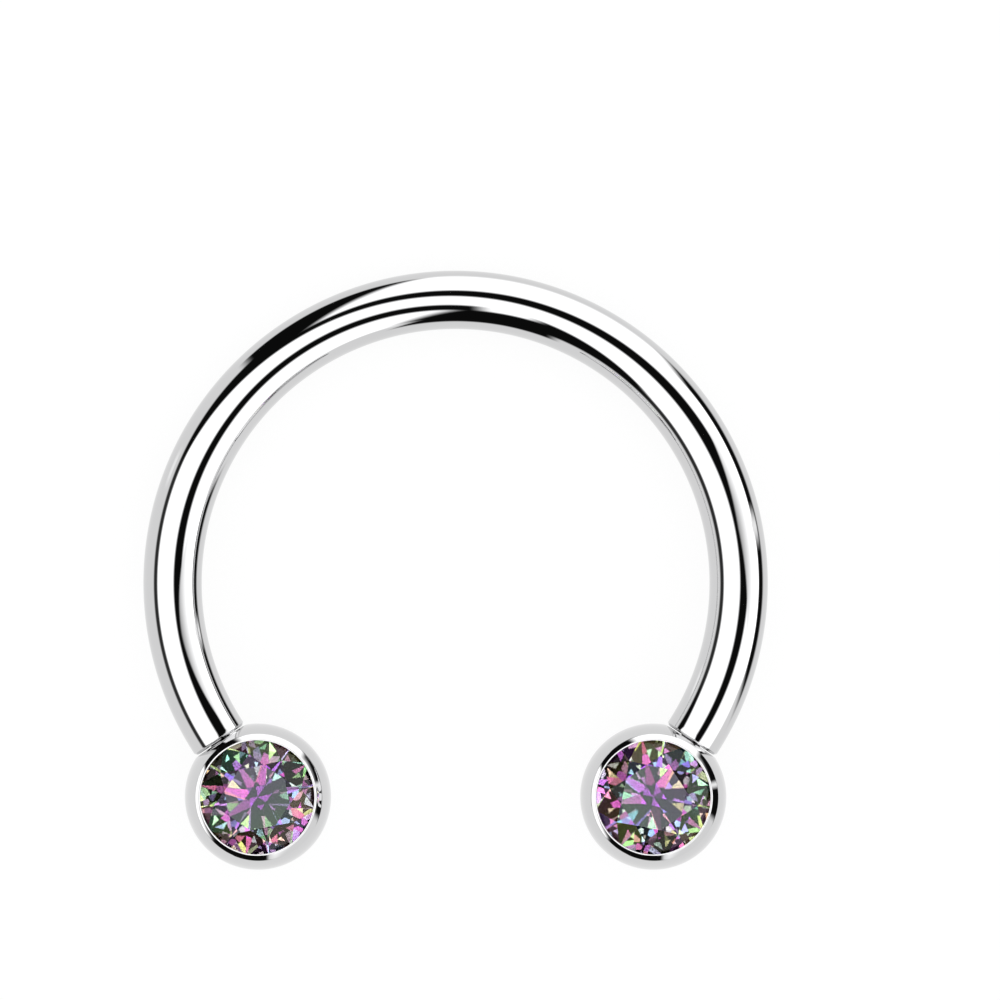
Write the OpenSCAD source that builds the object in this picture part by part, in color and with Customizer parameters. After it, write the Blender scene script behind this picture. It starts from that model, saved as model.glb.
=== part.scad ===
// Horseshoe barbell: a curved bar with two push-in ball ends, each set with a round cut stone.
// It lies as it would on a table, on both balls and the far side of the bar, stones upwards.
// Millimetres, +Z up, origin on the table below the middle of the part, opening towards -Y.

/* [Bar] */
// Thickness of the bar's wire, 16 gauge
wire_d = 1.2; // [1:0.1:1.6]
// Inside diameter of the horseshoe
inner_d = 10.4; // [9:0.2:14]
// Bevel round each cut end of the bar
end_bevel = 0.05; // [0.02:0.01:0.1]
// Bevel round the mouth of each bore
mouth_bevel = 0.05; // [0.02:0.01:0.08]

/* [Ball ends] */
// Diameter of each ball
ball_d = 3; // [2.8:0.1:3.6]
// Gap between the two balls, where the jewel opens
ball_gap = 5.1; // [4.6:0.1:6.5]
// Gap between a seated ball and the end of the bar
seat_gap = 0.02; // [0.01:0.01:0.05]

/* [Push pins] */
// Thickness of each curved pin
pin_d = 0.45; // [0.35:0.05:0.55]
// Length of a pin outside its ball, along its curve
pin_length = 4.5; // [2.5:0.1:6]
// Depth to which a pin is welded into its ball
pin_root = 0.3; // [0.2:0.05:0.4]
// Bevel round the tip of a pin
tip_bevel = 0.06; // [0.03:0.01:0.1]
// Clearance all round a pin in its bore
pin_play = 0.03; // [0.02:0.01:0.06]
// Length of bore left free beyond the tip of a pin
bore_spare = 0.2; // [0.1:0.05:0.5]

/* [Stones] */
// Diameter of each round cut stone
stone_d = 2.5; // [2.2:0.1:2.6]
// Corner to corner width of a stone's flat table
table_d = 1.36; // [1.2:0.02:1.6]
// Slope of the main facets above the girdle, in degrees
crown_angle = 34.5; // [30:0.5:38]
// Slope of the main facets below the girdle, in degrees
pavilion_angle = 40.8; // [38:0.2:43]
// Thickness of a stone's edge, the girdle
girdle_t = 0.05; // [0.03:0.01:0.08]
// Number of main facets round a stone
main_facets = 8; // [6:1:10]

/* [Stone settings] */
// Thickness of the metal wall round a stone's girdle, at the ball's face
rim_wall = 0.05; // [0.03:0.01:0.1]
// Width of stone that the lip covers, all round
lip_cover = 0.085; // [0.05:0.005:0.12]
// Width of the narrow flat along the inner edge of the lip
lip_flat = 0.02; // [0.01:0.005:0.03]
// Thickness of the lip's inner edge
lip_t = 0.03; // [0.02:0.005:0.05]
// Slope of the lip down to the edge of the ball's face, in degrees
lip_angle = 37; // [25:1:45]
// Clearance round a stone's girdle and crown in its setting
stone_play = 0.01; // [0.005:0.005:0.02]
// Clearance under a stone, down to the conical seat
seat_play = 0.03; // [0.025:0.005:0.05]

/* [Hidden] */
$fn = 96;

wire_r = wire_d / 2;
ball_r = ball_d / 2;
pin_r = pin_d / 2;
bore_r = pin_r + pin_play;
stone_r = stone_d / 2;
table_r = table_d / 2;

// The bar's centre line, and the flat on each ball, which is as wide as the bar
ring_r = inner_d / 2 + wire_r;
flat_offset = sqrt(ball_r * ball_r - wire_r * wire_r);
ball_offset = flat_offset + seat_gap;

// Where the balls and the bar's ends come on the horseshoe, turning from the right-hand side
ball_turn = asin((ball_gap + ball_d) / 2 / norm([ring_r, ball_offset]));
end_angle = ball_turn + atan(ball_offset / ring_r) - 90;
bar_turn = 180 - 2 * end_angle;
ball_y = -norm([ring_r, ball_offset]) * cos(ball_turn);

// Arcs along the bar's centre line, in degrees
degrees_per_mm = 180 / (PI * ring_r);
pin_turn = (pin_length - seat_gap) * degrees_per_mm;
pin_root_turn = (seat_gap + pin_root) * degrees_per_mm;
bore_turn = pin_turn + bore_spare * degrees_per_mm;

// How the part lies: the balls are thicker than the bar, so the horseshoe leans down away from them
lean = asin((ball_r - wire_r) / (ring_r - ball_y));
lie_z = wire_r + ring_r * sin(lean);
lie_y = ((-ball_y - ring_r) * cos(lean) + ball_r - wire_r) / 2;

// Cut of the stones: shares of the way from table to girdle, and from girdle to point
star_share = 0.45;
lower_share = 0.77;
cuts = round(main_facets);
turn_step = 360 / cuts;
crown_h = (stone_r - table_r) * tan(crown_angle);
star_r = table_r * cos(turn_step / 2) * (1 - star_share) + stone_r * star_share;
star_h = crown_h - (star_r * cos(turn_step / 2) - table_r) * tan(crown_angle);
point_h = -girdle_t - stone_r * tan(pavilion_angle);
lower_r = stone_r * (1 - lower_share);
lower_h = point_h + lower_r * cos(turn_step / 2) * tan(pavilion_angle);

// The setting, from the ball's centre up: cut face, sloping lip and the seat inside
face_r = stone_r + rim_wall;
face_h = sqrt(ball_r * ball_r - face_r * face_r);
lip_r = stone_r - lip_cover;
lip_top_r = lip_r + lip_flat;
lip_top_h = face_h + (face_r - lip_top_r) * tan(lip_angle);
crown_slope = star_h / (stone_r - star_r);
under_lip_h = lip_top_h - lip_t;
girdle_h = under_lip_h - (lip_cover + stone_play) * crown_slope - stone_play;
seat_r = stone_r + stone_play;
seat_top_h = girdle_h + stone_play;
seat_bottom_h = girdle_h - girdle_t - seat_play;
seat_point_h = seat_bottom_h - seat_r * tan(pavilion_angle);

// Lays the horseshoe, drawn flat round its own centre, down as it rests
module lay_down() {
    translate([0, lie_y, lie_z])
        rotate([-lean, 0, 0])
            children();
}

// Puts children at the right end of the bar, with +Y running on into the bar
module at_end() {
    rotate([0, 0, end_angle])
        translate([ring_r, 0, 0])
            children();
}

// Makes a piece for the left end from the one for the right end
module to_left() {
    mirror([1, 0, 0])
        children();
}

// Round wire bent along the bar's centre line
module bent_wire(radius, from, turn) {
    rotate([0, 0, from])
        rotate_extrude(angle = turn)
            translate([ring_r, 0])
                circle(r = radius);
}

// Three-cornered ring that cuts a bevel round a wire's end at the origin, on a wire that runs on along +Y
module bevel_cut(radius, bevel) {
    rotate([-90, 0, 0])
        rotate_extrude()
            polygon([
                [radius - 2 * bevel, -bevel],
                [radius + bevel, 2 * bevel],
                [radius + bevel, -bevel]
            ]);
}

// Bore for a push pin, open at the right end of the bar, with its mouth widened
module pin_bore() {
    bent_wire(bore_r, end_angle - pin_root_turn, pin_root_turn + bore_turn);
    at_end()
        rotate([-90, 0, 0])
            translate([0, 0, -mouth_bevel])
                cylinder(h = 3 * mouth_bevel, r1 = bore_r + 2 * mouth_bevel, r2 = bore_r - mouth_bevel);
}

module bar() {
    color("silver")
        lay_down()
            difference() {
                bent_wire(wire_r, end_angle, bar_turn);
                at_end()
                    bevel_cut(wire_r, end_bevel);
                to_left()
                    at_end()
                        bevel_cut(wire_r, end_bevel);
                pin_bore();
                to_left()
                    pin_bore();
            }
}

// Half outline of a setting: a ball cut flat, with a lip that leans in over the stone
module setting_outline() {
    above = lip_top_h + ball_r;
    lip_foot_h = lip_top_h - (ball_d - lip_top_r) * tan(lip_angle);
    difference() {
        intersection() {
            circle(r = ball_r);
            polygon([
                [0, -ball_d],
                [ball_d, -ball_d],
                [ball_d, lip_foot_h],
                [lip_top_r, lip_top_h],
                [0, lip_top_h]
            ]);
        }
        polygon([
            [0, seat_point_h],
            [seat_r, seat_bottom_h],
            [seat_r, seat_top_h],
            [lip_r, under_lip_h],
            [lip_r, above],
            [0, above]
        ]);
    }
}

// Ball with its stone setting, round its own centre, with the flat for the bar towards +Y
module setting() {
    difference() {
        rotate_extrude()
            setting_outline();
        translate([-ball_r, flat_offset, -ball_r])
            cube(ball_d);
    }
}

// Ball, setting and welded pin in one piece, for the right end
module ball_end() {
    at_end()
        translate([0, -ball_offset, 0])
            setting();
    difference() {
        bent_wire(pin_r, end_angle - pin_root_turn, pin_root_turn + pin_turn);
        rotate([0, 0, pin_turn])
            at_end()
                mirror([0, 1, 0])
                    bevel_cut(pin_r, tip_bevel);
    }
}

module right_ball_end() {
    color("lightgray")
        lay_down()
            ball_end();
}

module left_ball_end() {
    color("lightgray")
        lay_down()
            to_left()
                ball_end();
}

// Points of the cut stone in rings, counted round from the X axis
function ring_point(radius, height, turn) = [radius * cos(turn), radius * sin(turn), height];
function ring_points(count, radius, height, offset) =
    [for (i = [0 : count - 1]) ring_point(radius, height, i * 360 / count + offset)];

// Round brilliant cut with its girdle's upper edge on the XY plane, table upwards
module brilliant() {
    last = cuts - 1;
    edges = 2 * cuts;
    table_points = ring_points(cuts, table_r, crown_h, 0);
    star_points = ring_points(cuts, star_r, star_h, turn_step / 2);
    upper_points = ring_points(edges, stone_r, 0, 0);
    lower_points = ring_points(edges, stone_r, -girdle_t, 0);
    ridge_points = ring_points(cuts, lower_r, lower_h, turn_step / 2);
    star = cuts;
    upper = star + cuts;
    lower = upper + edges;
    ridge = lower + edges;
    culet = ridge + cuts;
    table_face = [[for (i = [last : -1 : 0]) i]];
    star_faces = [for (i = [0 : last]) [i, (i + 1) % cuts, star + i]];
    kite_faces = [for (i = [0 : last]) [i, star + i, upper + 2 * i, star + (i + last) % cuts]];
    upper_faces = [for (i = [0 : edges - 1]) [star + floor(i / 2), upper + (i + 1) % edges, upper + i]];
    girdle_faces = [for (i = [0 : edges - 1])
        [upper + i, upper + (i + 1) % edges, lower + (i + 1) % edges, lower + i]];
    lower_faces = [for (i = [0 : edges - 1]) [ridge + floor(i / 2), lower + i, lower + (i + 1) % edges]];
    main_faces = [for (i = [0 : last]) [culet, ridge + (i + last) % cuts, lower + 2 * i, ridge + i]];
    polyhedron(
        points = concat(table_points, star_points, upper_points, lower_points, ridge_points,
            [[0, 0, point_h]]),
        faces = concat(table_face, star_faces, kite_faces, upper_faces, girdle_faces, lower_faces, main_faces)
    );
}

// Stone in the setting at the right end, with a corner of its table towards the bar
module set_stone() {
    at_end()
        translate([0, -ball_offset, girdle_h])
            brilliant();
}

module right_stone() {
    color("mediumorchid")
        lay_down()
            set_stone();
}

module left_stone() {
    color("mediumorchid")
        lay_down()
            to_left()
                set_stone();
}

bar();
left_ball_end();
right_ball_end();
left_stone();
right_stone();
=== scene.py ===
# %% [markdown]
# # A horseshoe barbell in a light tent
#
# The jewel is a polished bar bent to most of a ring. A ball plugs into each end on a
# curved pin, and each ball holds a round cut stone behind a turned-in lip.
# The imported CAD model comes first, because it fixes where everything is: nothing
# below moves it. Every piece is built again much finer, because a mirror polish
# shows every flat of a coarse mesh.

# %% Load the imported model
import math

import bpy
import numpy as np
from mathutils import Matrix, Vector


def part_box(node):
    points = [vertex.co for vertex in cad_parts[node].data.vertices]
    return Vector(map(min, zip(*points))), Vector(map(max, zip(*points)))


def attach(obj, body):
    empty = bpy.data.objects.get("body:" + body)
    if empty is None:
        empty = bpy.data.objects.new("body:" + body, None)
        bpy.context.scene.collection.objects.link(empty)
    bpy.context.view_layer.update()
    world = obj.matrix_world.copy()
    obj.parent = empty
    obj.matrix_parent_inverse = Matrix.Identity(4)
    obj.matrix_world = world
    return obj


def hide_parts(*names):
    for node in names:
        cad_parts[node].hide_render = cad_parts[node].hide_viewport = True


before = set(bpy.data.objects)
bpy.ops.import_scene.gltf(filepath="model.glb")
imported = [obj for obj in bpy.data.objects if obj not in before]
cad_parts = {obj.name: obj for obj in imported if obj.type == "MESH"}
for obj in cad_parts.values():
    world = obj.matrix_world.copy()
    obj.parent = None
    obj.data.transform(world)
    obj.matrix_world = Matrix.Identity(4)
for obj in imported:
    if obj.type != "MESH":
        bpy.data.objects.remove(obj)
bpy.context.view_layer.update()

MM_IN_METRE = 1000.0

# %% [markdown]
# ## Sizes
#
# The same sizes as in the part's source, in millimetres. Blender works in metres, so
# every shape is worked out in millimetres and scaled once, at the end.

# %% Sizes of the bar and the pins
WIRE_R = 0.6
RING_R = 5.8
END_BEVEL = 0.05
MOUTH_BEVEL = 0.05
PIN_R = 0.225
PIN_LENGTH = 4.5
TIP_BEVEL = 0.06
BORE_R = 0.255
BORE_SPARE = 0.2
print("play round a pin:", round(BORE_R - PIN_R, 3))

# %% Sizes of the balls and the stones
BALL_R = 1.5
BALL_GAP = 5.1
SEAT_GAP = 0.02
RIM_R = 1.3
LIP_R = 1.165
LIP_FLAT = 0.02
LIP_T = 0.03
LIP_ANGLE = math.radians(37)
STONE_R = 1.25
STONE_PLAY = 0.01
SEAT_PLAY = 0.03
TABLE_R = 0.68
CROWN_ANGLE = math.radians(34.5)
PAVILION_ANGLE = math.radians(40.8)
GIRDLE_T = 0.05
STAR_SHARE = 0.45
LOWER_SHARE = 0.77
print("of the stone, the lip covers all round:", round(STONE_R - LIP_R, 3))

# %% Where the bar ends and the balls sit
FLAT_OFFSET = math.sqrt(BALL_R**2 - WIRE_R**2)
BALL_OFFSET = FLAT_OFFSET + SEAT_GAP
BALL_TURN = math.asin((BALL_GAP / 2 + BALL_R) / math.hypot(RING_R, BALL_OFFSET))
END_TURN = BALL_TURN + math.atan2(BALL_OFFSET, RING_R) - math.pi / 2
BAR_TURN = math.pi - 2 * END_TURN
BALL_Y = -math.hypot(RING_R, BALL_OFFSET) * math.cos(BALL_TURN)
print("the bar ends at", round(math.degrees(END_TURN), 2), "degrees, over", round(math.degrees(BAR_TURN), 1))

# %% [markdown]
# ## How it lies
#
# The balls are thicker than the bar, so on a table the ring leans down away from
# them by about five degrees. Shapes are drawn on the ring's own flat plane, with the
# ring's centre at zero, and `lay` turns and lifts them to where the CAD lies.

# %% Lay the ring's plane on the table
LEAN = math.asin((BALL_R - WIRE_R) / (RING_R - BALL_Y))
CENTRE = np.array([
    0.0,
    ((-BALL_Y - RING_R) * math.cos(LEAN) + BALL_R - WIRE_R) / 2,
    WIRE_R + RING_R * math.sin(LEAN),
])
ACROSS = np.array([1.0, 0.0, 0.0])
UP_RING = np.array([0.0, math.cos(LEAN), -math.sin(LEAN)])
FACE_ON = np.array([0.0, math.sin(LEAN), math.cos(LEAN)])


def lay(points):
    """
    Ring-plane millimetres to CAD metres: (centre + x across + y up the ring + z towards the
    viewer who looks along the ring's axis) / 1000.
    """
    return (CENTRE + points @ np.stack([ACROSS, UP_RING, FACE_ON])) / MM_IN_METRE


bar_low, bar_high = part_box("bar")
print("lean in degrees:", round(math.degrees(LEAN), 3))
print("bar's CAD box in mm:", [round(v * MM_IN_METRE, 3) for v in (*bar_low, *bar_high)])

# %% [markdown]
# ## Camera
#
# The photograph shows the ring as a perfect circle, so the lens is long and looks
# straight along the ring's axis. That puts the camera almost overhead. It is moved
# sideways, not shifted, so that the ring sits left of and below the middle.

# %% Long lens, straight on to the ring
PICTURE_SIZE = 1000.0
PIXELS_PER_MM = 48.8
RING_CENTRE_PIXEL = (455.6, 582.9)
CAMERA_DISTANCE = 320.0
SENSOR_WIDTH = 36.0

middle_pixel = PICTURE_SIZE / 2
view_centre = np.array([
    (middle_pixel - RING_CENTRE_PIXEL[0]) / PIXELS_PER_MM,
    (RING_CENTRE_PIXEL[1] - middle_pixel) / PIXELS_PER_MM,
    CAMERA_DISTANCE,
])
camera_data = bpy.data.cameras.new("portrait_lens")
camera_data.sensor_width = SENSOR_WIDTH
camera_data.lens = SENSOR_WIDTH * CAMERA_DISTANCE / (PICTURE_SIZE / PIXELS_PER_MM)
camera_data.clip_start, camera_data.clip_end = 0.01, 20.0
camera = bpy.data.objects.new("portrait_camera", camera_data)
bpy.context.scene.collection.objects.link(camera)
camera.location = lay(view_centre)
camera.rotation_euler = (-LEAN, 0.0, 0.0)
bpy.context.scene.camera = camera
print("lens in mm:", round(camera_data.lens))
print("camera height in mm:", round(camera.location.z * MM_IN_METRE, 1))

# %% [markdown]
# ## Building surfaces from grids
#
# A turned or bent metal piece is one outline carried round a circle. So each piece is
# a grid of points, one row for each place along the outline and one column for each
# step round. The columns close on themselves, and the first and last row shrink to one
# point each, so the skin is watertight.

# %% Skin over one grid


def skin(name, rows, inside_out=False):
    """
    Mesh from a grid of rows. A face joins row i and i + 1 at column j and j + 1, the columns
    wrap round, and the first and last row are drawn to one point each.
    """
    count, columns = rows.shape[0] - 2, rows.shape[1]
    points = np.concatenate([rows[0, :1], rows[1:-1].reshape(-1, 3), rows[-1, :1]])
    i, j = np.meshgrid(np.arange(count - 1), np.arange(columns), indexing="ij")
    a = 1 + i * columns + j
    b = 1 + i * columns + (j + 1) % columns
    quads = np.stack([a, a + columns, b + columns, b], axis=-1).reshape(-1, 4)
    ring = np.arange(columns)
    after = (ring + 1) % columns
    last = 1 + (count - 1) * columns
    first_fan = np.stack([np.zeros(columns, int), 1 + ring, 1 + after], axis=-1)
    last_fan = np.stack([np.full(columns, len(points) - 1), last + after, last + ring], axis=-1)
    if inside_out:
        quads, first_fan, last_fan = quads[:, ::-1], first_fan[:, ::-1], last_fan[:, ::-1]
    corners = np.concatenate([quads.ravel(), first_fan.ravel(), last_fan.ravel()])
    sides = np.concatenate([np.full(len(quads), 4), np.full(2 * columns, 3)])
    starts = np.concatenate([[0], np.cumsum(sides)[:-1]])
    mesh = bpy.data.meshes.new(name)
    mesh.vertices.add(len(points))
    mesh.vertices.foreach_set("co", lay(points).ravel())
    mesh.loops.add(len(corners))
    mesh.loops.foreach_set("vertex_index", corners)
    mesh.polygons.add(len(sides))
    mesh.polygons.foreach_set("loop_start", starts)
    mesh.update(calc_edges=True)
    mesh.validate()
    mesh.shade_smooth()
    piece = bpy.data.objects.new(name, mesh)
    bpy.context.scene.collection.objects.link(piece)
    print(name, "has", len(points), "points and", int((sides - 2).sum()), "triangles")
    return piece


# %% Outlines with soft corners


def softened(corners, radius, steps=5):
    """
    Outline through the corners, each inner one rounded by a parabola: with t from 0 to 1 it is
    start (1 - t)^2 + corner 2 t (1 - t) + end t^2, where start and end lie one radius from the corner.
    """
    corners = np.asarray(corners, float)
    before, at, after = corners[:-2], corners[1:-1], corners[2:]
    to_before = (before - at) / np.linalg.norm(before - at, axis=1, keepdims=True)
    to_after = (after - at) / np.linalg.norm(after - at, axis=1, keepdims=True)
    t = np.linspace(0.0, 1.0, steps)[None, :, None]
    start, end = (at + to_before * radius)[:, None], (at + to_after * radius)[:, None]
    bends = start * (1 - t) ** 2 + at[:, None] * 2 * t * (1 - t) + end * t**2
    return np.concatenate([corners[:1], bends.reshape(-1, corners.shape[1]), corners[-1:]])


def filled(outline, longest):
    """The same outline with extra points, so that no step is longer than asked."""
    steps = np.maximum(1, np.ceil(np.linalg.norm(np.diff(outline, axis=0), axis=1) / longest)).astype(int)
    places = np.concatenate([np.arange(n) / n + i for i, n in enumerate(steps)] + [[len(outline) - 1.0]])
    index = np.arange(len(outline))
    return np.stack([np.interp(places, index, outline[:, k]) for k in range(outline.shape[1])], axis=-1)


print("points on one softened square corner:", len(softened([(0, 0), (1, 0), (1, 1)], 0.1)))

# %% Circles round the bend
COLUMNS = 224
around = np.linspace(0.0, 2 * math.pi, COLUMNS, endpoint=False)


def bent(outline, spin=1.0):
    """
    Carries (length along the bar, radius) round the bent centre line. With turn = end turn +
    length / ring radius, and out = ring radius + radius cos(around), a point is
    (out cos(turn), out sin(turn), spin radius sin(around)). Spin is 1, or -1 to go round the other way.
    """
    turn = END_TURN + outline[:, :1] / RING_R
    radius = outline[:, 1:]
    out = RING_R + radius * np.cos(around)
    return np.stack([out * np.cos(turn), out * np.sin(turn), spin * radius * np.sin(around)], axis=-1)


print("longest step round the bar in mm:", round(2 * math.pi * WIRE_R / COLUMNS, 4))

# %% [markdown]
# ## The bar
#
# A real bar is drawn wire, cut square, bevelled at both ends, drilled, bent and then
# polished to a mirror. One outline says all of that: up from the floor of one bore,
# out over the bevelled end, along the bar and down into the other bore.
# Carrying it along the bend keeps the tube exactly round, which shows in the long
# straight reflections.

# %% Bar with both bores
BAR_LENGTH = BAR_TURN * RING_R
BORE_LENGTH = PIN_LENGTH - SEAT_GAP + BORE_SPARE
BAR_EDGE = 0.012
LENGTH_STEP = 0.09

bar_half = [
    (BORE_LENGTH, 0.0),
    (BORE_LENGTH, BORE_R),
    (MOUTH_BEVEL, BORE_R),
    (0.0, BORE_R + MOUTH_BEVEL),
    (0.0, WIRE_R - END_BEVEL),
    (END_BEVEL, WIRE_R),
]
bar_outline = bar_half + [(BAR_LENGTH - s, r) for s, r in bar_half[::-1]]
bar_outline = filled(softened(bar_outline, BAR_EDGE), LENGTH_STEP)
bar = skin("polished_bar", bent(bar_outline))
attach(bar, "bar")
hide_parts("bar")

# %% [markdown]
# ## Ball ends
#
# Each end is turned from one piece: a ball cut flat where it meets the bar, and cut
# open at the front, where a thin lip is burnished over the stone. The front opening
# and the flat are both circles on the ball, at a right angle to each other. A fan of
# planes that turns about the line where those two cuts meet slices the ball into
# circles, from the first circle to the second, so the whole ball is one even grid.

# %% Heights in one ball end
RIM_H = math.sqrt(BALL_R**2 - RIM_R**2)
LIP_TOP_R = LIP_R + LIP_FLAT
LIP_TOP_H = RIM_H + (RIM_R - LIP_TOP_R) * math.tan(LIP_ANGLE)
UNDER_LIP_H = LIP_TOP_H - LIP_T
CROWN_H = (STONE_R - TABLE_R) * math.tan(CROWN_ANGLE)
STAR_R = TABLE_R * math.cos(math.pi / 8) * (1 - STAR_SHARE) + STONE_R * STAR_SHARE
STAR_H = CROWN_H - (STAR_R * math.cos(math.pi / 8) - TABLE_R) * math.tan(CROWN_ANGLE)
GIRDLE_H = UNDER_LIP_H - (STONE_R - LIP_R + STONE_PLAY) * STAR_H / (STONE_R - STAR_R) - STONE_PLAY
SEAT_R = STONE_R + STONE_PLAY
SEAT_LOW_H = GIRDLE_H - GIRDLE_T - SEAT_PLAY
heights = {"rim": RIM_H, "lip": LIP_TOP_H, "table": GIRDLE_H + CROWN_H}
print("mm above the ball's middle:", {place: round(h, 3) for place, h in heights.items()})

# %% Where the right-hand ball is
OUT = np.array([math.cos(END_TURN), math.sin(END_TURN), 0.0])
ALONG = np.array([-math.sin(END_TURN), math.cos(END_TURN), 0.0])
FACING = np.array([0.0, 0.0, 1.0])
BALL_CENTRE = RING_R * OUT - BALL_OFFSET * ALONG
MIRROR = np.array([-1.0, 1.0, 1.0])
print("ball's middle on the ring's plane:", np.round(BALL_CENTRE, 3).tolist())

# %% Circles of the face and of the ball
BALL_ROWS = 150


def face_rows(outline):
    """(radius, height) turned to centre + radius (cos(around) out - sin(around) along) + height facing."""
    radius, height = outline[:, :1, None], outline[:, 1:, None]
    circle = np.cos(around)[None, :, None] * OUT - np.sin(around)[None, :, None] * ALONG
    return BALL_CENTRE + radius * circle + height * FACING


def ball_rows(count):
    """
    Circles in which planes through the line where both cuts meet slice the ball, from rim to flat.
    A plane swung by s lies flat offset sin(s) - rim height cos(s) from the ball's middle, and its
    circle's radius squared is the ball's radius squared less that distance squared.
    """
    swing = np.linspace(0.0, math.pi / 2, count)[1:-1, None, None]
    across_plane = -np.cos(swing) * ALONG - np.sin(swing) * FACING
    square_to = np.sin(swing) * ALONG - np.cos(swing) * FACING
    distance = FLAT_OFFSET * np.sin(swing) - RIM_H * np.cos(swing)
    radius = np.sqrt(BALL_R**2 - distance**2)
    circle = np.cos(around)[None, :, None] * OUT + np.sin(around)[None, :, None] * across_plane
    return BALL_CENTRE + distance * square_to + radius * circle


ball_grid = ball_rows(BALL_ROWS)
print("ball grid:", ball_grid.shape)

# %% Outline of the setting
LIP_EDGE = 0.006
LIP_TOP_SPARE = 0.008
SETTING_STEP = 0.05
FLANK_STEP = 0.012

setting_outline = softened([
    (0.0, SEAT_LOW_H - SEAT_R * math.tan(PAVILION_ANGLE)),
    (SEAT_R, SEAT_LOW_H),
    (SEAT_R, GIRDLE_H + STONE_PLAY),
    (LIP_R, UNDER_LIP_H),
    (LIP_R, LIP_TOP_H),
    (LIP_TOP_R + LIP_TOP_SPARE, LIP_TOP_H),
    (RIM_R, RIM_H),
], LIP_EDGE)
inside_outline = filled(setting_outline[:-1], SETTING_STEP)
flank_outline = filled(setting_outline[-2:], FLANK_STEP)
lip_outline = np.concatenate([inside_outline, flank_outline[1:]])
print("points down the seat and over the lip:", len(lip_outline))

# %% Outline of the flat and the pin
PIN_EDGE = 0.015
FLAT_OUTSIDE = 0.02
FLAT_INSIDE = 0.004

# the flat is drawn from a little outside its edge, and only its points inside the edge are kept
pin_outline = [
    (-SEAT_GAP, WIRE_R + FLAT_OUTSIDE),
    (-SEAT_GAP, PIN_R),
    (PIN_LENGTH - SEAT_GAP - TIP_BEVEL, PIN_R),
    (PIN_LENGTH - SEAT_GAP, PIN_R - TIP_BEVEL),
    (PIN_LENGTH - SEAT_GAP, 0.0),
]
pin_outline = filled(softened(pin_outline, PIN_EDGE), LENGTH_STEP)
pin_outline = pin_outline[pin_outline[:, 1] < WIRE_R - FLAT_INSIDE]
print("points along the pin:", len(pin_outline))

# %% [markdown]
# The photograph's lips are white on the left and dark on the right, so both rims are
# tipped two degrees to the right, as hand-turned lips can be. The tip grows from
# nothing at the lip's flat top to all of it at the rim, and fades out down the ball
# and towards the bar.

# %% Tip of the rim
RIM_TIP = math.radians(2)
UNTIPPED_H = 0.4


def eased(value, start, end):
    """Zero before the start and one past the end, and 3 t^2 - 2 t^3 between them."""
    t = np.clip((value - start) / (end - start), 0.0, 1.0)
    return t * t * (3 - 2 * t)


def tipped(points, share, tip):
    """
    Turns points sideways about the ball's centre by tip * share radians, so that what is on the
    ball stays on it: across' = across cos + facing sin, and facing' = facing cos - across sin.
    """
    across, facing = (points - BALL_CENTRE)[..., 0], (points - BALL_CENTRE)[..., 2]
    moved = points.copy()
    moved[..., 0] = BALL_CENTRE[0] + across * np.cos(tip * share) + facing * np.sin(tip * share)
    moved[..., 2] = facing * np.cos(tip * share) - across * np.sin(tip * share)
    return moved


print("the tip moves the rim in mm by up to", round(BALL_R * RIM_TIP, 3))

# %% Both ball ends


def end_rows(tip):
    """Setting, ball and pin as one grid, with the rim tipped sideways and all the rest level."""
    inside_share = np.zeros(len(inside_outline) - 1)
    lip_share = np.concatenate([inside_share, np.linspace(0.0, 1.0, len(flank_outline))])
    lip = tipped(face_rows(lip_outline), lip_share[:, None], tip)
    height, reach = (ball_grid - BALL_CENTRE) @ FACING, (ball_grid - BALL_CENTRE) @ ALONG
    ball_share = eased(height, UNTIPPED_H, RIM_H) * (1 - eased(reach, RIM_R, FLAT_OFFSET))
    ball = tipped(ball_grid, ball_share, tip)
    return np.concatenate([lip, ball, bent(pin_outline, spin=-1.0)])


# the left end is a mirror image, so its tip is turned the other way first
right_end = skin("right_ball_end_fine", end_rows(RIM_TIP), inside_out=True)
left_end = skin("left_ball_end_fine", end_rows(-RIM_TIP) * MIRROR)
for piece, side in ((right_end, "right"), (left_end, "left")):
    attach(piece, side + "_end")
    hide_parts(side + "_ball_end")

# %% [markdown]
# ## Stones
#
# Each stone is a round brilliant: a flat eight-sided table, eight star facets, eight
# kites and sixteen upper facets above the girdle, sixteen lower facets and eight
# mains below it. The facets stay flat and sharp, as they are ground. The front is
# clear, with a slight haze on its table. The back carries a thin vapour coating that
# mirrors light in several colours. So one closed skin carries three materials.

# %% Corners of a round brilliant
POINT_H = -GIRDLE_T - STONE_R * math.tan(PAVILION_ANGLE)
RIDGE_R = STONE_R * (1 - LOWER_SHARE)
RIDGE_H = POINT_H + RIDGE_R * math.cos(math.pi / 8) * math.tan(PAVILION_ANGLE)


def ring_points(count, radius, height, offset=0.0):
    """Points at equal turns on a circle, at one height: (radius cos(turn), radius sin(turn), height)."""
    turn = np.arange(count) * 2 * math.pi / count + offset
    return np.stack([radius * np.cos(turn), radius * np.sin(turn), np.full(count, height)], axis=-1)


stone_points = np.concatenate([
    ring_points(8, TABLE_R, CROWN_H),
    ring_points(8, STAR_R, STAR_H, math.pi / 8),
    ring_points(16, STONE_R, 0.0),
    ring_points(16, STONE_R, -GIRDLE_T),
    ring_points(8, RIDGE_R, RIDGE_H, math.pi / 8),
    [[0.0, 0.0, POINT_H]],
])
print("table to point in mm:", round(CROWN_H - POINT_H, 3))

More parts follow.
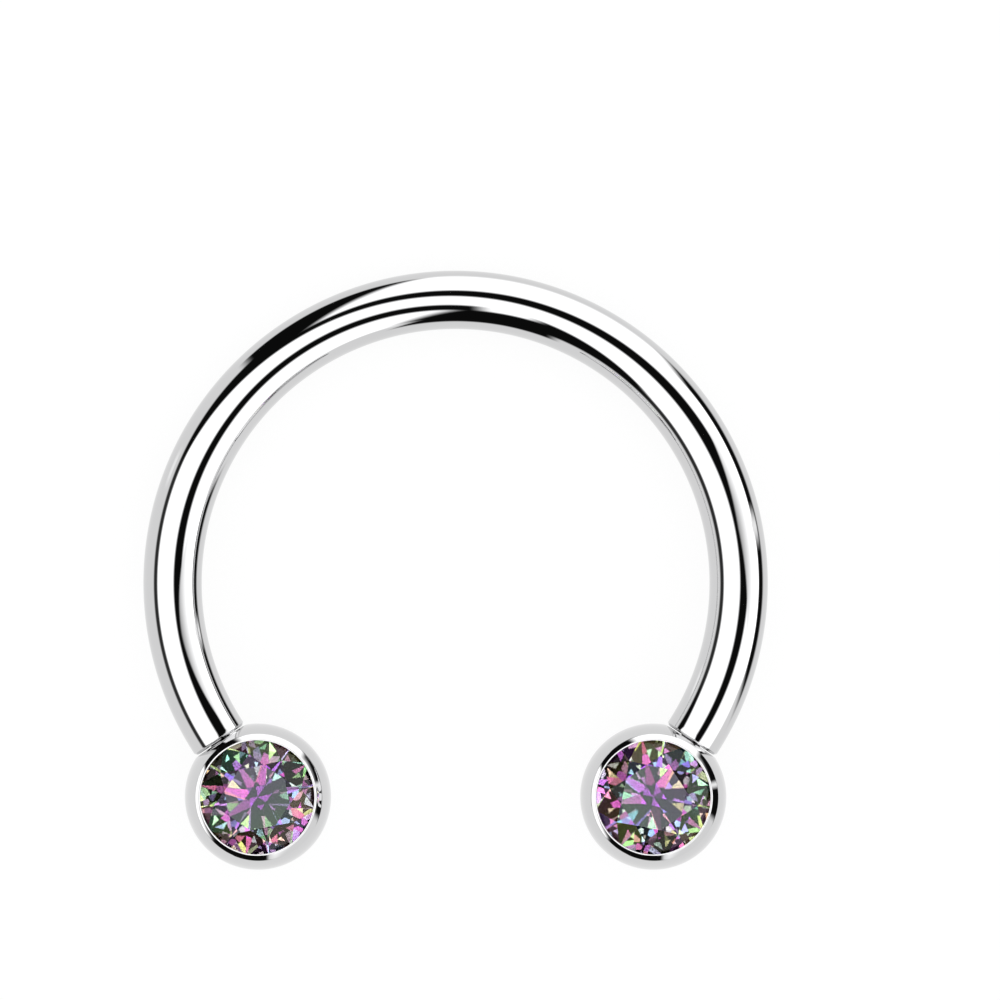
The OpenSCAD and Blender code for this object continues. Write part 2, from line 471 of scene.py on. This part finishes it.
# %% Facets between the corners
STAR, UPPER, LOWER, RIDGE, POINT = 8, 16, 32, 48, 56
EIGHT = np.arange(8)
SIXTEEN = np.arange(16)
BEFORE_8 = (EIGHT + 7) % 8
NEXT_8 = (EIGHT + 1) % 8
NEXT_16 = (SIXTEEN + 1) % 16


def facets_of(*corners):
    """One facet for each row, from columns of corner numbers."""
    return np.stack(corners, axis=-1).tolist()


table = [EIGHT.tolist()]
stars = facets_of(NEXT_8, EIGHT, STAR + EIGHT)
kites = facets_of(EIGHT, STAR + BEFORE_8, UPPER + 2 * EIGHT, STAR + EIGHT)
uppers = facets_of(STAR + SIXTEEN // 2, UPPER + SIXTEEN, UPPER + NEXT_16)
girdle = facets_of(UPPER + SIXTEEN, LOWER + SIXTEEN, LOWER + NEXT_16, UPPER + NEXT_16)
lowers = facets_of(RIDGE + SIXTEEN // 2, LOWER + NEXT_16, LOWER + SIXTEEN)
mains = facets_of(np.full(8, POINT), RIDGE + EIGHT, LOWER + 2 * EIGHT, RIDGE + BEFORE_8)
front_facets = table + stars + kites + uppers + girdle
back_facets = lowers + mains
print("facets:", len(front_facets) - len(girdle), "in front,", len(back_facets), "behind")

# %% Both stones
CLEAR, COATED, HAZY = 0, 1, 2


def stone(name, side):
    """One stone set in its ball, with a corner of its table towards the bar. The left one is mirrored."""
    x, y, height = stone_points[:, :1], stone_points[:, 1:2], stone_points[:, 2:]
    placed = BALL_CENTRE + x * OUT + y * ALONG + (height + GIRDLE_H) * FACING
    facets = front_facets + back_facets
    if side == "left":
        placed, facets = placed * MIRROR, [f[::-1] for f in facets]
    mesh = bpy.data.meshes.new(name)
    mesh.from_pydata(lay(placed).tolist(), [], facets)
    mesh.update()
    finish = np.full(len(facets), CLEAR, np.int32)
    finish[len(front_facets):] = COATED
    finish[:len(table)] = HAZY
    mesh.polygons.foreach_set("material_index", finish)
    piece = bpy.data.objects.new(name, mesh)
    bpy.context.scene.collection.objects.link(piece)
    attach(piece, side + "_end")
    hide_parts(side + "_stone")
    print(name, "has", len(facets), "facets")
    return piece


right_stone = stone("right_stone_cut", "right")
left_stone = stone("left_stone_cut", "left")

# %% [markdown]
# ## Rainbow coat on the stones
#
# Stones like these get their colours from a clear coat, less than a thousandth of a
# millimetre thick, grown on them as vapour in a vacuum. Light thrown back by the coat's
# two sides adds up where the way in and out is a whole number of its waves, and cancels
# half a wave further on. So the only thing stored here is that way on each corner of
# each facet, with how strong and how bright its colours come out. A facet's tilt to
# the vapour sets how thick the coat grows, so each kind of facet has its own way,
# neighbours differ a little, and a slow change runs across the whole stone.
#
# The numbers weren't reasoned out. A separate program found most of them, by searching until a simple traced
# stone was like the photograph's, and they were rounded. Some were then changed, above all how strong the
# colours are.

# %% The coat on every kind of facet
# kind, facets, way in and out in thousandths of a mm, plus or minus by turns, strength of colour, brightness
COAT = [
    ("table", 1, 1.48, 0.0, 0.10, 0.80),
    ("star", 8, 1.44, 0.02, 0.20, 1.00),
    ("kite", 8, 1.12, -0.03, 0.28, 0.85),
    ("upper", 16, 1.27, 0.05, 0.28, 0.85),
    ("girdle", 16, 1.00, 0.0, 0.0, 0.30),
    ("lower", 16, 1.05, 0.08, 0.07, 0.85),
    ("main", 8, 1.33, 0.0, 0.24, 0.65),
]
# how much brighter and darker in three lobes round the stone, and the middle of a bright lobe in degrees
LOBES = {"star": (0.9, -20), "kite": (0.8, -20), "upper": (0.8, 80)}
NO_LOBES = (0.0, 0)
print("facets with a coat:", sum(row[1] for row in COAT))

# %% Store the coat on both stones


def coat_on(piece, middle, slope, saddle):
    """
    Stores (way, strength, brightness) on every facet corner. The way is its kind's, plus or
    minus by turns, plus slope . (x, y) + saddle . (x^2 - y^2, 2xy), in millimetres from the stone's
    middle. The brightness is its kind's times 1 + lobe cos(3 (turn - place)).
    """
    mesh = piece.data
    points = np.empty(len(mesh.vertices) * 3)
    mesh.vertices.foreach_get("co", points)
    points = points.reshape(-1, 3) * MM_IN_METRE - CENTRE
    flat = (points @ np.stack([ACROSS, UP_RING]).T) - middle[:2]
    stored = []
    facets = iter(mesh.polygons)
    for kind, count, way, step, strength, bright in COAT:
        lobe, place = LOBES.get(kind, NO_LOBES)
        for number in range(count):
            facet = flat[list(next(facets).vertices)]
            x, y = facet[:, 0], facet[:, 1]
            turn = math.degrees(math.atan2(y.mean(), x.mean()))
            own = way + step * (1 - 2 * (number % 2))
            spread = slope[0] * x + slope[1] * y + saddle[0] * (x * x - y * y) + saddle[1] * 2 * x * y
            shine = bright * (1 + lobe * math.cos(math.radians(3 * (turn - place))))
            stored += [(own + change, strength, shine) for change in spread]
    layer = mesh.attributes.new("coat", "FLOAT_VECTOR", "CORNER")
    layer.data.foreach_set("vector", np.array(stored).ravel())
    print(piece.name, "way in and out from", round(min(stored)[0], 2), "to", round(max(stored)[0], 2))


coat_on(right_stone, BALL_CENTRE, slope=(-0.09, -0.02), saddle=(0.01, -0.04))
coat_on(left_stone, BALL_CENTRE * MIRROR, slope=(0.05, -0.08), saddle=(-0.02, -0.03))

# %% [markdown]
# ## Metal finish
#
# Polished titanium is a grey mirror. Two things keep it from looking drawn: fine hair
# lines left by the polishing wheel, and a faint film from handling. Both are in one
# shared group, so that the bar and the balls take the same finish.

# %% Helpers for node groups


def new_group(name, inputs, outputs):
    """An empty shader node group with named number inputs and outputs."""
    group = bpy.data.node_groups.new(name, "ShaderNodeTree")
    for label, kind, value in inputs:
        made = group.interface.new_socket(label, in_out="INPUT", socket_type=kind)
        if value is not None:
            made.default_value = value
    for label, kind in outputs:
        group.interface.new_socket(label, in_out="OUTPUT", socket_type=kind)
    return group, group.nodes.new("NodeGroupInput"), group.nodes.new("NodeGroupOutput")


def math_node(nodes, links, operation, a, b=None, clamp=False):
    """A Math node fed by sockets or plain numbers."""
    made = nodes.new("ShaderNodeMath")
    made.operation = operation
    made.use_clamp = clamp
    for slot_number, value in enumerate((a, b)):
        if value is None:
            continue
        if isinstance(value, (int, float)):
            made.inputs[slot_number].default_value = value
        else:
            links.new(value, made.inputs[slot_number])
    return made.outputs[0]


def noise_node(nodes, links, place, scale, detail):
    """Noise over a place, between 0 and 1."""
    made = nodes.new("ShaderNodeTexNoise")
    made.inputs["Detail"].default_value = detail
    links.new(place, made.inputs["Vector"])
    links.new(scale, made.inputs["Scale"])
    return made.outputs["Fac"]


print("node groups so far:", len(bpy.data.node_groups))

# %% Group for the wheel's polish
polish, polish_in, polish_out = new_group(
    "wheel_polish",
    [
        ("Place", "NodeSocketVector", None),
        ("Line Scale", "NodeSocketFloat", 9000.0),
        ("Film Scale", "NodeSocketFloat", 500.0),
        ("Smooth", "NodeSocketFloat", 0.02),
        ("Film", "NodeSocketFloat", 0.05),
    ],
    [("Roughness", "NodeSocketFloat"), ("Height", "NodeSocketFloat"), ("Film", "NodeSocketFloat")],
)
polish_given = polish_in.outputs
lines = noise_node(polish.nodes, polish.links, polish_given["Place"], polish_given["Line Scale"], detail=3.0)
film = noise_node(polish.nodes, polish.links, polish_given["Place"], polish_given["Film Scale"], detail=4.0)
film_amount = math_node(polish.nodes, polish.links, "SUBTRACT", film, 0.5, clamp=True)
film_rough = math_node(polish.nodes, polish.links, "MULTIPLY", film_amount, polish_given["Film"])
roughness = math_node(polish.nodes, polish.links, "ADD", film_rough, polish_given["Smooth"])
polish.links.new(roughness, polish_out.inputs["Roughness"])
polish.links.new(lines, polish_out.inputs["Height"])
polish.links.new(film_amount, polish_out.inputs["Film"])
print("group sockets:", [s.name for s in polish.interface.items_tree])

# %% Polished metal
TITANIUM = (0.66, 0.66, 0.665)
FILM_TINT = 0.93
SMOOTH = 0.015
FILM = 0.05
LINE_STRENGTH = 0.02
LINE_DEPTH = 2e-6


def polished_metal(name):
    """Grey mirror whose roughness, tint and tiny bumps come from the shared polish group."""
    material = bpy.data.materials.new(name)
    material.use_nodes = True
    nodes, links = material.node_tree.nodes, material.node_tree.links
    shader = nodes["Principled BSDF"]
    shader.inputs["Metallic"].default_value = 1.0
    place = nodes.new("ShaderNodeTexCoord")
    finish = nodes.new("ShaderNodeGroup")
    finish.node_tree = polish
    finish.inputs["Smooth"].default_value = SMOOTH
    finish.inputs["Film"].default_value = FILM
    links.new(place.outputs["Object"], finish.inputs["Place"])
    links.new(finish.outputs["Roughness"], shader.inputs["Roughness"])
    tint = nodes.new("ShaderNodeMix")
    tint.data_type = "RGBA"
    tint.inputs["A"].default_value = (*TITANIUM, 1.0)
    tint.inputs["B"].default_value = (*(FILM_TINT * c for c in TITANIUM), 1.0)
    links.new(finish.outputs["Film"], tint.inputs["Factor"])
    links.new(tint.outputs["Result"], shader.inputs["Base Color"])
    bump = nodes.new("ShaderNodeBump")
    bump.inputs["Strength"].default_value = LINE_STRENGTH
    bump.inputs["Distance"].default_value = LINE_DEPTH
    links.new(finish.outputs["Height"], bump.inputs["Height"])
    links.new(bump.outputs["Normal"], shader.inputs["Normal"])
    return material


bar.data.materials.append(polished_metal("polished_titanium_bar"))
ball_finish = polished_metal("polished_titanium_ball")
for piece in (left_end, right_end):
    piece.data.materials.append(ball_finish)
print("metal materials:", [m.name for m in (bar.data.materials[0], ball_finish)])

# %% [markdown]
# ## Stone finish
#
# The coat's colour is worked out from its stored way in one shared group. It tints what
# passes through the front, which is clear but for a faint milkiness, and what the back
# throws forward again. The table is the facet that gets touched, so it is milkier than
# the rest and reads slate grey. A fine mottle in the coat keeps the colours from
# looking printed. The coat also dims the front's plain reflection, so that is turned down.

# %% Group for the rainbow coat
WAVES = (0.62, 0.54, 0.46)

coat, coat_in, coat_out = new_group(
    "rainbow_coat",
    [
        ("Place", "NodeSocketVector", None),
        ("Coat", "NodeSocketVector", None),
        ("Mottle Scale", "NodeSocketFloat", 2500.0),
        ("Mottle", "NodeSocketFloat", 0.012),
    ],
    [("Color", "NodeSocketColor")],
)


def coat_math(operation, a, b):
    """A Math node of the coat."""
    return math_node(coat.nodes, coat.links, operation, a, b)


def coat_vector(operation, vector, by=None, add=None):
    """A Vector Math node of the coat: scaled by a socket, or with a plain vector added."""
    made = coat.nodes.new("ShaderNodeVectorMath")
    made.operation = operation
    coat.links.new(vector, made.inputs[0])
    if by is not None:
        coat.links.new(by, made.inputs["Scale"])
    if add is not None:
        made.inputs[1].default_value = add
    return made.outputs["Vector"]


# colour of each wave = brightness * (1/2 + strength * cos(2 pi way / wave))
coat_given = coat_in.outputs
parts = coat.nodes.new("ShaderNodeSeparateXYZ")
coat.links.new(coat_given["Coat"], parts.inputs[0])
mottle = noise_node(coat.nodes, coat.links, coat_given["Place"], coat_given["Mottle Scale"], detail=3.0)
uneven = coat_math("MULTIPLY", coat_math("SUBTRACT", mottle, 0.5), coat_given["Mottle"])
way = coat_math("ADD", parts.outputs["X"], uneven)
waves = coat.nodes.new("ShaderNodeCombineXYZ")
for number, wave in enumerate(WAVES):
    waves.inputs[number].default_value = 2 * math.pi / wave
in_step = coat_vector("COSINE", coat_vector("SCALE", waves.outputs["Vector"], by=way))
shade = coat_vector("ADD", coat_vector("SCALE", in_step, by=parts.outputs["Y"]), add=(0.5, 0.5, 0.5))
coat.links.new(coat_vector("SCALE", shade, by=parts.outputs["Z"]), coat_out.inputs["Color"])
print("coat group:", len(coat.nodes), "nodes, waves in thousandths of a mm:", WAVES)

# %% Clear front, hazy table and mirror back of the stones
MILK = 0.06
TABLE_MILK = 0.27
GLASS = {"IOR": 1.5, "Specular Tint": (0.5, 0.5, 0.5, 1.0)}


def coated_stone(name, settings):
    """A polished stone surface whose colour comes from the coat stored on its facets."""
    material = bpy.data.materials.new(name)
    material.use_nodes = True
    nodes, links = material.node_tree.nodes, material.node_tree.links
    shader = nodes["Principled BSDF"]
    shader.inputs["Roughness"].default_value = 0.0
    for label, value in settings.items():
        shader.inputs[label].default_value = value
    place = nodes.new("ShaderNodeTexCoord")
    stored = nodes.new("ShaderNodeAttribute")
    stored.attribute_name = "coat"
    colours = nodes.new("ShaderNodeGroup")
    colours.node_tree = coat
    links.new(place.outputs["Object"], colours.inputs["Place"])
    links.new(stored.outputs["Vector"], colours.inputs["Coat"])
    links.new(colours.outputs["Color"], shader.inputs["Base Color"])
    return material


stone_finishes = {
    CLEAR: coated_stone("clear_stone_front", {**GLASS, "Transmission Weight": 1 - MILK}),
    COATED: coated_stone("rainbow_coated_back", {"Metallic": 1.0}),
    HAZY: coated_stone("hazy_stone_table", {**GLASS, "Transmission Weight": 1 - TABLE_MILK}),
}
for piece in (left_stone, right_stone):
    for number in sorted(stone_finishes):
        piece.data.materials.append(stone_finishes[number])
    print(piece.name, "finishes:", [m.name for m in piece.data.materials])

# %% [markdown]
# ## Table
#
# The jewel lies on a glowing white table, as on a light pad, so no hard shadow falls.
# The metal sees the table as part of the tent that follows, so the table itself is
# kept out of its reflections.

# %% White table
TABLE_HALF = 2.0
TABLE_GREY = 0.14
TABLE_GLOW = 0.88

table_corners = [(x * TABLE_HALF, y * TABLE_HALF, 0) for x, y in ((-1, -1), (1, -1), (1, 1), (-1, 1))]
table_mesh = bpy.data.meshes.new("white_table")
table_mesh.from_pydata(table_corners, [], [(0, 1, 2, 3)])
white_table = bpy.data.objects.new("white_table", table_mesh)
bpy.context.scene.collection.objects.link(white_table)
white_table.visible_glossy = False
table_material = bpy.data.materials.new("glowing_table")
table_material.use_nodes = True
shader = table_material.node_tree.nodes["Principled BSDF"]
shader.inputs["Base Color"].default_value = (TABLE_GREY, TABLE_GREY, TABLE_GREY, 1.0)
shader.inputs["Roughness"].default_value = 1.0
shader.inputs["Specular IOR Level"].default_value = 0.0
shader.inputs["Emission Color"].default_value = (1.0, 1.0, 1.0, 1.0)
shader.inputs["Emission Strength"].default_value = TABLE_GLOW
table_mesh.materials.append(table_material)
print("width of the table in metres:", 2 * TABLE_HALF)

# %% [markdown]
# ## Light tent
#
# A mirror shows only what stands round it, so the studio decides how the metal reads.
# Here it is a tent: a white lamp overhead, a black cloth hung in an arch in front of
# it, and three white windows in the cloth with black curtains at both ends. The
# black gaps draw the dark lines along the bar. Lamps made as objects would have to be
# found and aimed one by one, so the tent is painted on the sky. Every panel is
# placed by two angles: how far down from the ring's axis, and how far round it,
# starting from the right-hand side.

# %% The two angles of the tent
world = bpy.data.worlds.new("light_tent")
world.use_nodes = True
bpy.context.scene.world = world
sky, sky_links = world.node_tree.nodes, world.node_tree.links
sky.clear()


def sky_math(operation, a, b=None):
    """A Math node of the sky."""
    return math_node(sky, sky_links, operation, a, b)


def towards(axis):
    """How far the viewed direction goes along one axis of the ring's plane."""
    made = sky.new("ShaderNodeVectorMath")
    made.operation = "DOT_PRODUCT"
    sky_links.new(direction, made.inputs[0])
    made.inputs[1].default_value = tuple(float(v) for v in axis)
    return made.outputs["Value"]


def in_degrees(angle):
    """Radians to degrees."""
    return sky_math("MULTIPLY", angle, 180 / math.pi)


direction = sky.new("ShaderNodeTexCoord").outputs["Generated"]
down = in_degrees(sky_math("ARCCOSINE", towards(FACE_ON)))
turned = in_degrees(sky_math("ARCTAN2", towards(UP_RING), towards(ACROSS)))
print("nodes for the two angles:", len(sky))

# %% Soft masks and mixing


def past(value, place, soft):
    """Zero before a place and one past it, eased over so many degrees on either side."""
    ease = sky.new("ShaderNodeMapRange")
    ease.interpolation_type = "SMOOTHSTEP"
    sky_links.new(sky_math("SUBTRACT", value, place), ease.inputs["Value"])
    ease.inputs["From Min"].default_value = -soft
    ease.inputs["From Max"].default_value = soft
    return ease.outputs["Result"]


def both(first, second):
    """Two masks at once."""
    return sky_math("MULTIPLY", first, second)


def between(share, ends):
    """A plain number as it is, and for a pair: first + share * (second - first)."""
    if isinstance(ends, (int, float)):
        return ends
    return sky_math("ADD", sky_math("MULTIPLY", share, ends[1] - ends[0]), ends[0])


def painted(under, over, mask):
    """The level over where the mask is one, and the level under where it is zero."""
    blend = sky.new("ShaderNodeMix")
    for name, value in (("A", under), ("B", over), ("Factor", mask)):
        if isinstance(value, (int, float)):
            blend.inputs[name].default_value = value
        else:
            sky_links.new(value, blend.inputs[name])
    return blend.outputs["Result"]


print("nodes before the first panel:", len(sky))

# %% One panel
SOFT = 4.0
ARCH_SIDE = 45.0


def panel(under, bright, top, foot, left, right, arch=None, soft=SOFT, foot_soft=SOFT):
    """
    One panel over what is there already. Top and foot are degrees down. Brightness, left and right
    are plain numbers, or pairs for the top and the foot. An arch (place, drop, power) lowers the
    top by drop * (degrees away from the place / arch side) ** power.
    """
    share = sky_math("DIVIDE", sky_math("SUBTRACT", down, top), foot - top)
    edge = top
    if arch:
        place, drop, power = arch
        away = sky_math("DIVIDE", sky_math("ABSOLUTE", sky_math("SUBTRACT", turned, place)), ARCH_SIDE)
        edge = sky_math("ADD", sky_math("MULTIPLY", sky_math("POWER", away, power), drop), top)
    upright = both(past(down, edge, soft), past(sky_math("MULTIPLY", down, -1.0), -foot, foot_soft))
    start, end = between(share, left), between(share, right)
    sideways = both(past(turned, start, soft), past(sky_math("SUBTRACT", end, turned), 0.0, soft))
    return painted(under, between(share, bright), both(upright, sideways))


print("edges are soft over", 2 * SOFT, "degrees, if not said otherwise")

# %% Overhead lamp, dark hem, black cloth and glowing table
LAMP = 1.7
SMALL_LAMP = 1.2
BLACK = 0.005
HEM, HEM_FROM = 0.035, 61.0
TABLE_SEEN, TABLE_FROM = 0.95, 78.5

level = painted(LAMP, HEM, past(down, HEM_FROM, SOFT))
level = panel(level, BLACK, top=4.5, foot=90, left=-136, right=157, arch=(8, 1.3, 3.2))
level = painted(level, TABLE_SEEN, past(down, TABLE_FROM, SOFT))
print("lamp, hem, cloth and table:", len(sky), "nodes")

# %% Curtains at both ends
level = panel(level, BLACK, top=60, foot=104, left=(112, 96), right=134, soft=2.0)
level = panel(level, BLACK, top=60, foot=95, left=-112, right=(-88, -76), soft=2.0)
print("with the curtains:", len(sky), "nodes")

# %% Windows in the cloth
level = panel(level, LAMP, top=36, foot=106, left=(10, 40), right=(123, 95), arch=(72, 9, 2), foot_soft=8.0)
level = panel(level, LAMP, top=31, foot=83, left=(-93, -76), right=(10, -18), arch=(-40, 9, 2), foot_soft=3.0)
level = panel(level, (0.45, 2.8), top=19, foot=88, left=-18, right=38, arch=(10, 80, 1.35))
print("with the windows:", len(sky), "nodes")

# %% Black plinth and three small lamps
level = panel(level, BLACK, top=85, foot=111, left=(-18, -26), right=(42, 48), foot_soft=6.0)
level = panel(level, SMALL_LAMP, top=78, foot=104, left=8, right=13, soft=2.5)
level = panel(level, LAMP, top=22, foot=40, left=-107, right=-96, soft=3.0)
level = panel(level, SMALL_LAMP, top=92, foot=106, left=155, right=161, soft=2.0)
print("whole tent:", len(sky), "nodes")

# %% [markdown]
# ## Lamps for the stones
#
# A stone turns its light over two or three times inside, so lamps placed for the metal
# reach the eye from it as a grey blur. A jewellery photographer gives stones their own
# small, hard, bright lamps. Here they are on a second sky, seen only by light that has
# passed through a stone: a dark middle with one half lit, then a ring of five lamps
# with black gaps, and a soft glow below them. Where they stand and how bright they are
# came out of the same search as the coat, rounded. The gaps and the glow were then
# changed.

# %% Second sky for light that leaves a stone
MIDDLE_LIGHT, MIDDLE_TURN = 11.0, 45
RING_LIGHT, RING_TURN, RING_STEP, RING_FROM = 10.0, 1, 72, 10
LOW_GLOW, LOW_FROM = 2.0, 83
# each lamp ends where its wave passes this place
HALF_END, GAP_END = 0.1, -0.32


def wave_of(value, degrees):
    """Cosine of a sky angle, one wave for each so many degrees."""
    return sky_math("COSINE", sky_math("MULTIPLY", value, 2 * math.pi / degrees))


lit_half = past(wave_of(sky_math("ADD", turned, MIDDLE_TURN), 360), HALF_END, soft=0.1)
gaps = past(wave_of(sky_math("ADD", turned, RING_TURN), RING_STEP), GAP_END, soft=0.12)
middle = painted(0.0, MIDDLE_LIGHT, lit_half)
lamps = painted(RING_LIGHT, 0.0, gaps)
stone_level = painted(middle, lamps, past(down, RING_FROM, soft=2.0))
stone_level = painted(stone_level, LOW_GLOW, past(down, LOW_FROM, soft=3.0))
print("tent and stone lamps:", len(sky), "nodes")

# %% [markdown]
# The camera and the table see a plain white sky. That keeps the render quick as well,
# because Blender then needs no map of where the tent is bright.

# %% Which light sees which sky
seen = sky.new("ShaderNodeLightPath")


def sky_light(strength):
    """White light of a plain or painted strength."""
    made = sky.new("ShaderNodeBackground")
    made.inputs["Color"].default_value = (1.0, 1.0, 1.0, 1.0)
    if isinstance(strength, (int, float)):
        made.inputs["Strength"].default_value = strength
    else:
        sky_links.new(strength, made.inputs["Strength"])
    return made.outputs["Background"]


def chosen(otherwise, light, when):
    """One light where the switch is on, and another where it is off."""
    made = sky.new("ShaderNodeMixShader")
    sky_links.new(when, made.inputs["Fac"])
    sky_links.new(otherwise, made.inputs[1])
    sky_links.new(light, made.inputs[2])
    return made.outputs["Shader"]


plain_view = sky_math("MAXIMUM", seen.outputs["Is Camera Ray"], seen.outputs["Is Diffuse Ray"])
lit = chosen(sky_light(level), sky_light(stone_level), seen.outputs["Is Transmission Ray"])
lit = chosen(lit, sky_light(1.0), plain_view)
sky_out = sky.new("ShaderNodeOutputWorld")
sky_links.new(lit, sky_out.inputs["Surface"])
world.cycles.sampling_method = "NONE"
print("both skies:", len(sky), "nodes")

# %% Plain colours on the screen
view = bpy.context.scene.view_settings
view.view_transform = "Standard"
view.look = "None"
print("view:", view.view_transform)
